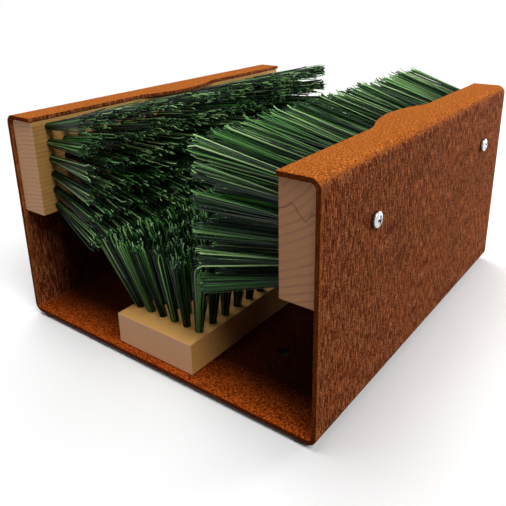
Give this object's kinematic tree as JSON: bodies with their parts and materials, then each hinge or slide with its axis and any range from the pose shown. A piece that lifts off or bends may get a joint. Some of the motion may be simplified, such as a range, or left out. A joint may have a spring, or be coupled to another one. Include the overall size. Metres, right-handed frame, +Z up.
{
  "type": "boot scraper",
  "caption": "Folded weathering-steel channel with a wood-backed bristle brush inside each wall and on the floor, through which a muddy boot is pushed to clean its sole and sides.",
  "frame": {"origin": "on the ground under the middle of the channel", "axes": "+Z up, Y along the boot's path with the front end at -Y, X across the walls"},
  "size_m": [0.2656, 0.3088, 0.1713],
  "materials": {
    "weathering_steel": "matte",
    "beech": "matte",
    "green_filament": "satin",
    "zinc_plate": "satin",
    "black_rubber": "matte"
  },
  "bodies": {
    "root": {"steel_body": "weathering_steel", "left_brush_block": "beech", "right_brush_block": "beech", "bottom_brush_block": "beech", "left_bristles": "green_filament", "right_bristles": "green_filament", "bottom_bristles": "green_filament", "left_screw_front": "zinc_plate", "left_screw_back": "zinc_plate", "right_screw_front": "zinc_plate", "right_screw_back": "zinc_plate", "bottom_screw_front": "zinc_plate", "bottom_screw_back": "zinc_plate", "foot_front_left": "black_rubber", "foot_front_right": "black_rubber", "foot_back_left": "black_rubber", "foot_back_right": "black_rubber"}
  },
  "joints": []
}
